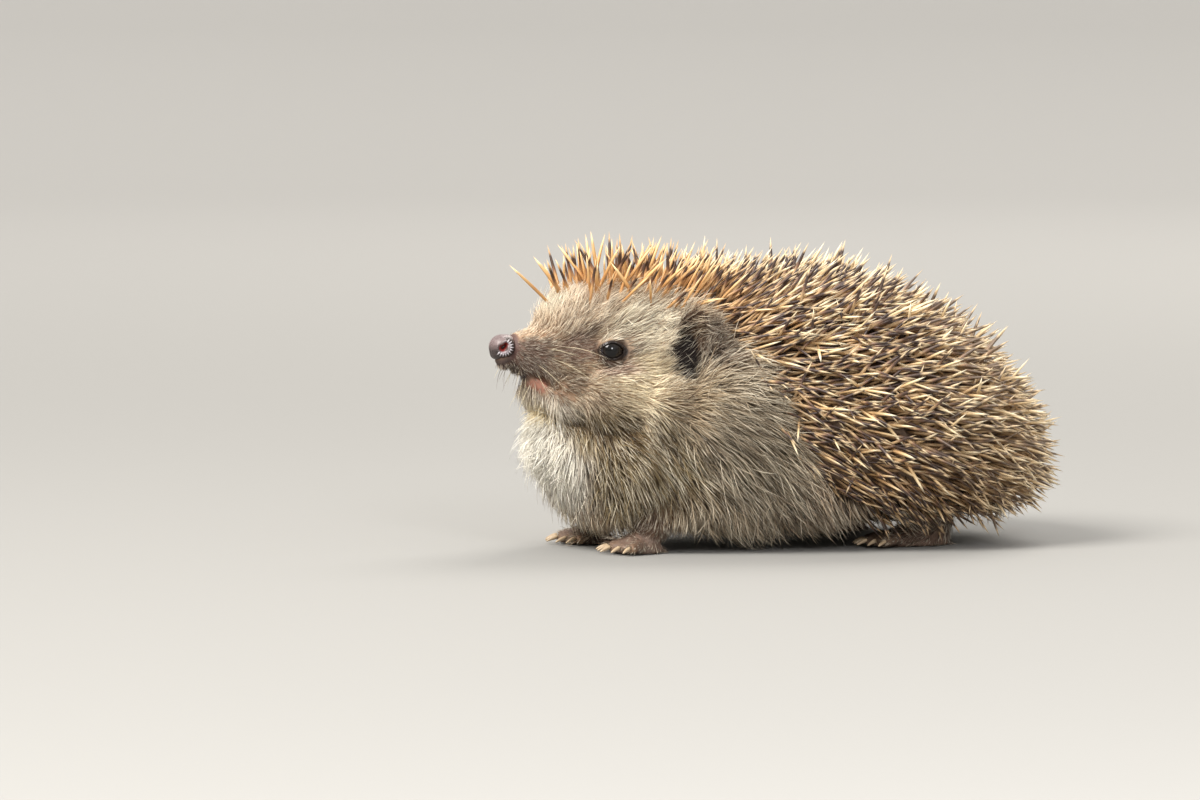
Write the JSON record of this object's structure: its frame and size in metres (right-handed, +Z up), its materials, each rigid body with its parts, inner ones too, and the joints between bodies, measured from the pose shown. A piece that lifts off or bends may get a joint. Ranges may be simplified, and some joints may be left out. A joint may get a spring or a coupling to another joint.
{
  "type": "hedgehog",
  "caption": "Life-size still model of a crouching European hedgehog with raised snout, spined back, furred face and chest, and paws flat on the ground.",
  "frame": {"origin": "on the floor under the middle of the animal's bounding box", "axes": "+Z up, the nose points along -Y, the animal's left side is +X"},
  "size_m": [0.1238, 0.1948, 0.1008],
  "materials": {
    "spines": "satin horn, banded pale and dark",
    "pale_fur": "coarse pale cream fur",
    "face_fur": "short grizzled fur",
    "dark_fur": "short dark brown fur",
    "nose_skin": "moist pebbled skin",
    "eye": "wet gloss",
    "paw_skin": "bare granular skin",
    "claw": "translucent horn, satin"
  },
  "bodies": {
    "root": {"mantle": "spines", "trunk": "pale_fur", "neck": "pale_fur", "head": "face_fur", "muzzle": "dark_fur", "lower_jaw": "pale_fur", "nose": "nose_skin", "tail": "pale_fur", "eye_left": "eye", "ear_left": "dark_fur", "foreleg_left": "dark_fur", "forepaw_left": "paw_skin", "claw_forepaw_left_1": "claw", "claw_forepaw_left_2": "claw", "claw_forepaw_left_3": "claw", "claw_forepaw_left_4": "claw", "claw_forepaw_left_5": "claw", "hindleg_left": "dark_fur", "hindpaw_left": "paw_skin", "claw_hindpaw_left_1": "claw", "claw_hindpaw_left_2": "claw", "claw_hindpaw_left_3": "claw", "claw_hindpaw_left_4": "claw", "claw_hindpaw_left_5": "claw", "eye_right": "eye", "ear_right": "dark_fur", "foreleg_right": "dark_fur", "forepaw_right": "paw_skin", "claw_forepaw_right_1": "claw", "claw_forepaw_right_2": "claw", "claw_forepaw_right_3": "claw", "claw_forepaw_right_4": "claw", "claw_forepaw_right_5": "claw", "hindleg_right": "dark_fur", "hindpaw_right": "paw_skin", "claw_hindpaw_right_1": "claw", "claw_hindpaw_right_2": "claw", "claw_hindpaw_right_3": "claw", "claw_hindpaw_right_4": "claw", "claw_hindpaw_right_5": "claw"}
  },
  "joints": []
}
